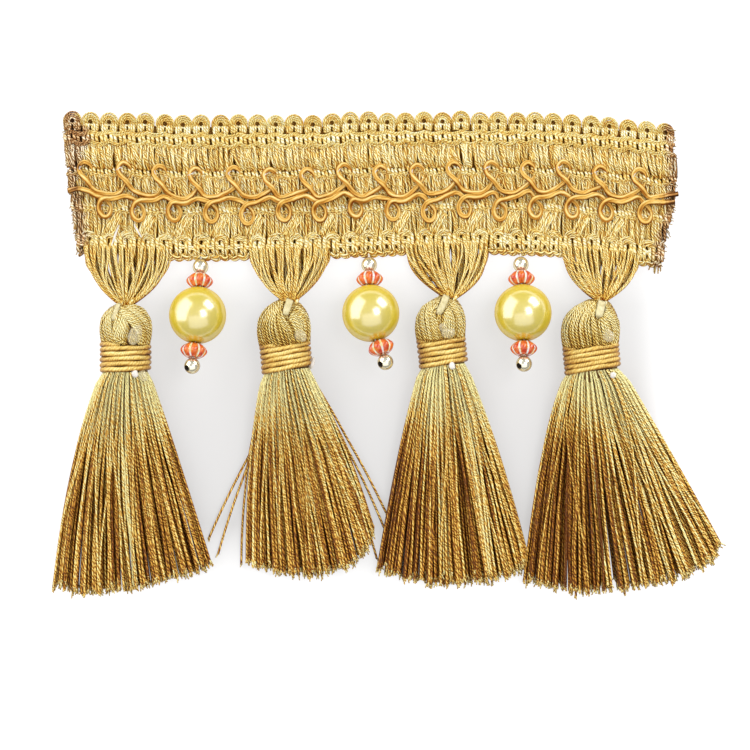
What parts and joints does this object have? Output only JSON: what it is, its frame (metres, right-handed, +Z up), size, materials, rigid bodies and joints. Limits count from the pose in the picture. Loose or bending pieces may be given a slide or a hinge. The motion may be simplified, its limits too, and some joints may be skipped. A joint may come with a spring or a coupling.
{
  "type": "beaded fringe trim",
  "caption": "Short length of woven gimp heading with scroll cords, bound tassels and pearl bead drops, lying face up.",
  "frame": {"origin": "centre of the bounding box in plan, on the surface that the trim lies on", "axes": "+X along the heading, +Y from the tassels' cut ends towards the heading's picots, +Z up out of the face"},
  "size_m": [0.1404, 0.1013, 0.0118],
  "materials": {
    "heading": "woven lustrous yarn, dull gold",
    "cord": "gimp cord wrapped in lustrous yarn, warm gold",
    "tassel": "twisted lustrous yarn, old gold",
    "wrap": "wound cord, warm gold",
    "tie": "flat pale cream tape",
    "pearl": "pearl lustre, yellow",
    "rondelle": "clear orange-red resin with bright flutes",
    "ball": "pale gilt, mirror bright",
    "thread": "clear nylon thread"
  },
  "bodies": {
    "root": {"heading": "heading", "scroll_cord_upper": "cord", "scroll_cord_lower": "cord", "tassel_1": "tassel", "tassel_2": "tassel", "tassel_3": "tassel", "tassel_4": "tassel", "tassel_wrap_1": "wrap", "tassel_wrap_2": "wrap", "tassel_wrap_3": "wrap", "tassel_wrap_4": "wrap", "tassel_tie_1": "tie", "tassel_tie_2": "tie", "tassel_tie_3": "tie", "tassel_tie_4": "tie", "drop_1_top_ball": "ball", "drop_1_top_rondelle": "rondelle", "drop_1_pearl": "pearl", "drop_1_lower_rondelle": "rondelle", "drop_1_end_ball": "ball", "drop_1_thread": "thread", "drop_2_top_ball": "ball", "drop_2_top_rondelle": "rondelle", "drop_2_pearl": "pearl", "drop_2_lower_rondelle": "rondelle", "drop_2_end_ball": "ball", "drop_2_thread": "thread", "drop_3_top_ball": "ball", "drop_3_top_rondelle": "rondelle", "drop_3_pearl": "pearl", "drop_3_lower_rondelle": "rondelle", "drop_3_end_ball": "ball", "drop_3_thread": "thread"}
  },
  "joints": []
}
